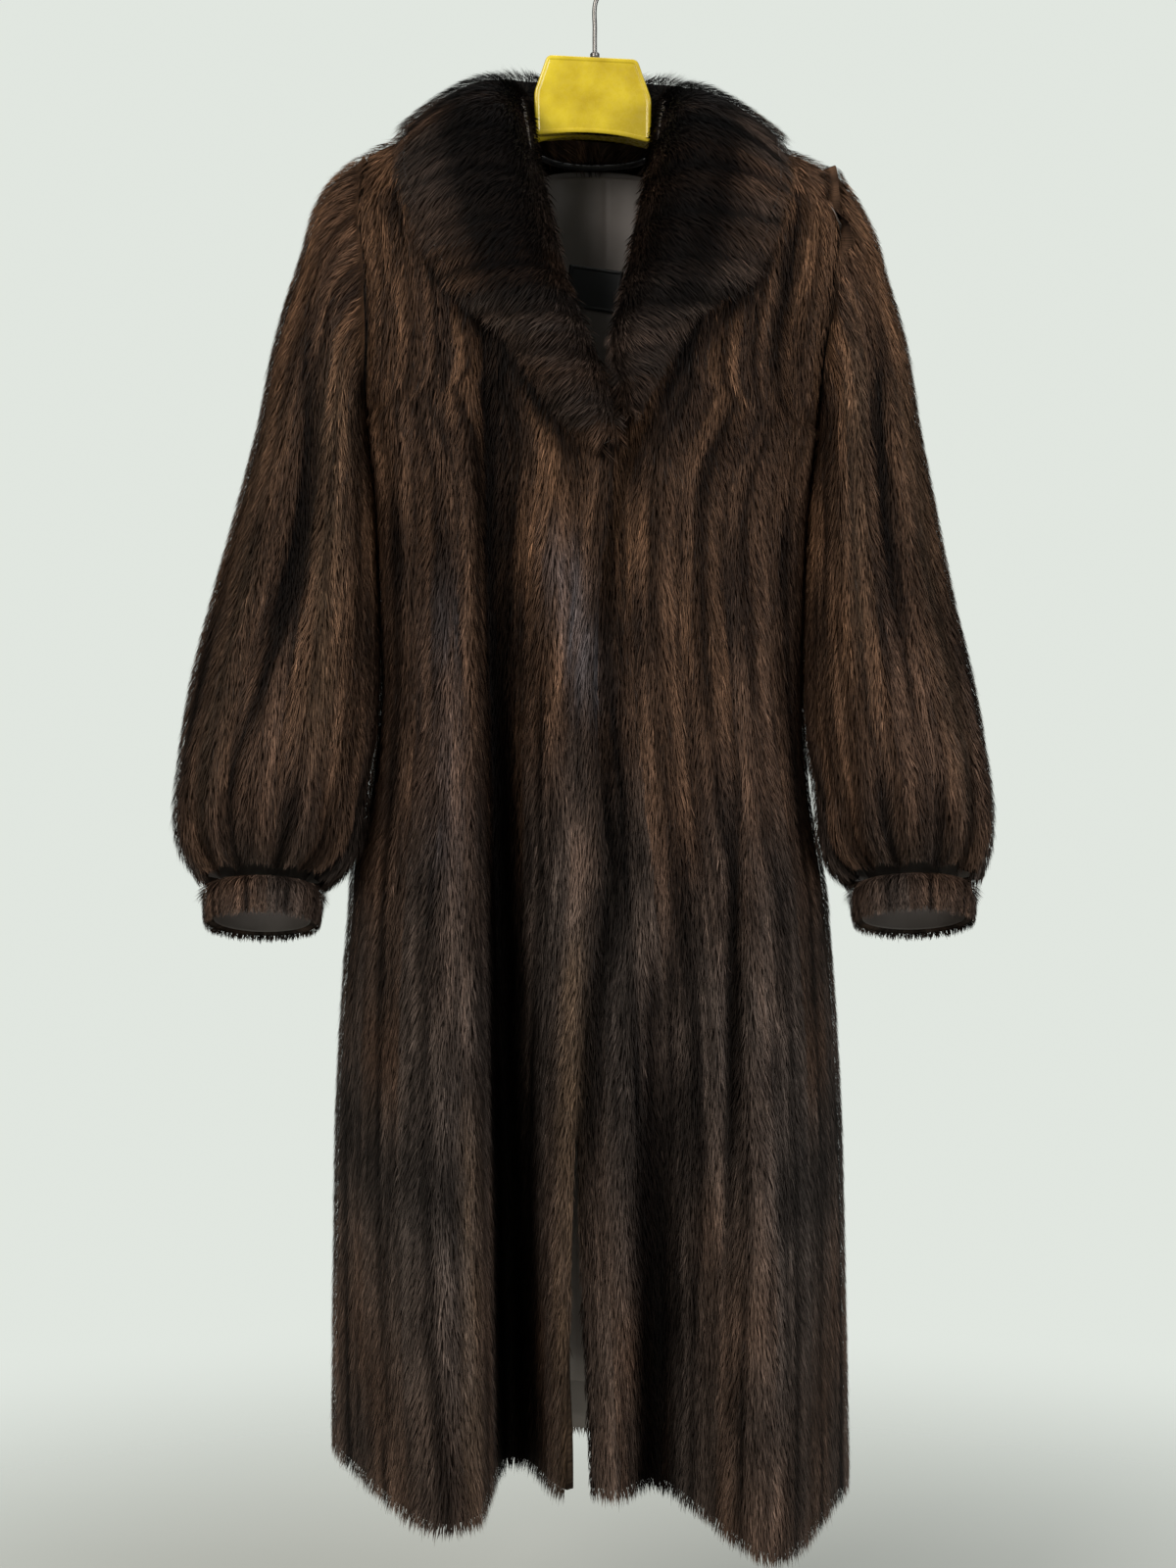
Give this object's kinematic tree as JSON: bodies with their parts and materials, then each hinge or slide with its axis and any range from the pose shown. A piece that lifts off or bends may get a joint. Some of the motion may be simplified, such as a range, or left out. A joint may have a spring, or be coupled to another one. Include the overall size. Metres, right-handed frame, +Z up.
{
  "type": "fur coat on a hanger",
  "caption": "Full-length dark mink coat with a shawl collar and full sleeves gathered into fur cuffs, on a moulded hanger with a wire hook.",
  "frame": {"origin": "inside top of the hook, where a rail would hold it", "axes": "+Z up, the coat's front faces -Y, +X to the viewer's right"},
  "size_m": [0.7128, 0.3055, 1.3822],
  "materials": {
    "fur": "dark brown mink, let-out strips, silky guard hair lying down the length",
    "lining": "charcoal taupe satin",
    "trim": "black satin piping",
    "label": "black woven label, blank",
    "hanger_plastic": "glossy mustard moulded plastic",
    "hook_wire": "plain steel wire"
  },
  "bodies": {
    "root": {"back": "fur", "front_left": "fur", "front_right": "fur", "sleeve_left": "fur", "sleeve_right": "fur", "cuff_left": "fur", "cuff_right": "fur", "collar": "fur", "lining_back": "lining", "neck_piping": "trim", "label": "label", "hanger": "hanger_plastic", "hook": "hook_wire"}
  },
  "joints": []
}
